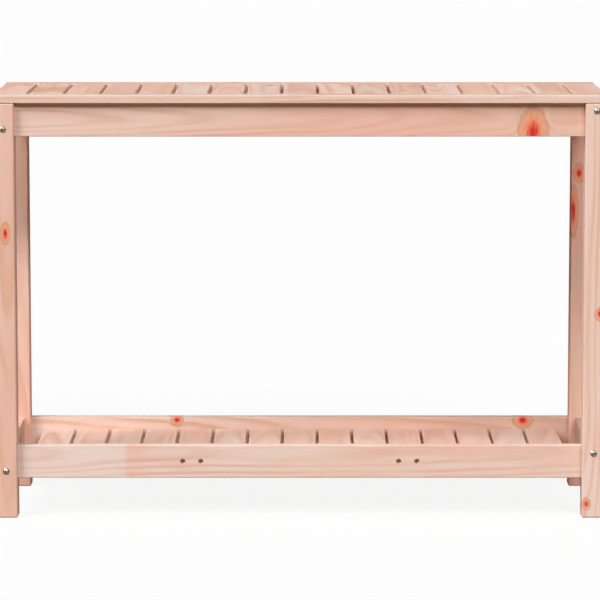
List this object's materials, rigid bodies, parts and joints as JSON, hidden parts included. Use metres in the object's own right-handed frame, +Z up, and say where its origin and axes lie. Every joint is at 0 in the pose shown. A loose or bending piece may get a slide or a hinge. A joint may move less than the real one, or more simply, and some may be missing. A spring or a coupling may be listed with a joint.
{
  "type": "potting bench",
  "caption": "Rectangular softwood potting bench with a slatted work top on four square legs and a slatted shelf low between them.",
  "frame": {"origin": "centre of the bench's footprint, on the floor", "axes": "+X along the bench to its right end as seen from the front, +Y from the front to the rear, +Z up"},
  "size_m": [1.0856, 0.3556, 0.75],
  "materials": {
    "frame_wood": "planed softwood, unfinished",
    "slat_wood": "planed softwood, unfinished",
    "batten_wood": "planed softwood, unfinished",
    "dowel_wood": "turned hardwood, unfinished",
    "steel": "dulled zinc plate"
  },
  "bodies": {
    "root": {"front_left_leg": "frame_wood", "front_right_leg": "frame_wood", "rear_left_leg": "frame_wood", "rear_right_leg": "frame_wood", "front_shelf_rail": "frame_wood", "rear_shelf_rail": "frame_wood", "front_apron": "frame_wood", "rear_apron": "frame_wood", "left_shelf_rail": "frame_wood", "right_shelf_rail": "frame_wood", "left_apron": "frame_wood", "right_apron": "frame_wood", "top_front_edge": "slat_wood", "top_rear_edge": "slat_wood", "top_slat_1": "slat_wood", "top_slat_2": "slat_wood", "top_slat_3": "slat_wood", "top_slat_4": "slat_wood", "top_slat_5": "slat_wood", "top_slat_6": "slat_wood", "top_slat_7": "slat_wood", "top_slat_8": "slat_wood", "top_slat_9": "slat_wood", "top_slat_10": "slat_wood", "top_slat_11": "slat_wood", "top_slat_12": "slat_wood", "top_slat_13": "slat_wood", "top_slat_14": "slat_wood", "top_slat_15": "slat_wood", "top_slat_16": "slat_wood", "top_slat_17": "slat_wood", "shelf_slat_1": "slat_wood", "shelf_slat_2": "slat_wood", "shelf_slat_3": "slat_wood", "shelf_slat_4": "slat_wood", "shelf_slat_5": "slat_wood", "shelf_slat_6": "slat_wood", "shelf_slat_7": "slat_wood", "shelf_slat_8": "slat_wood", "shelf_slat_9": "slat_wood", "shelf_slat_10": "slat_wood", "shelf_slat_11": "slat_wood", "shelf_slat_12": "slat_wood", "shelf_slat_13": "slat_wood", "shelf_slat_14": "slat_wood", "shelf_slat_15": "slat_wood", "top_front_batten": "batten_wood", "top_rear_batten": "batten_wood", "shelf_front_batten": "batten_wood", "shelf_rear_batten": "batten_wood", "frame_dowels": "dowel_wood", "frame_bolts": "steel", "top_edge_screws": "steel", "top_slat_screws": "steel", "top_batten_screws": "steel", "shelf_slat_screws": "steel", "shelf_tie_screws": "steel"}
  },
  "joints": []
}
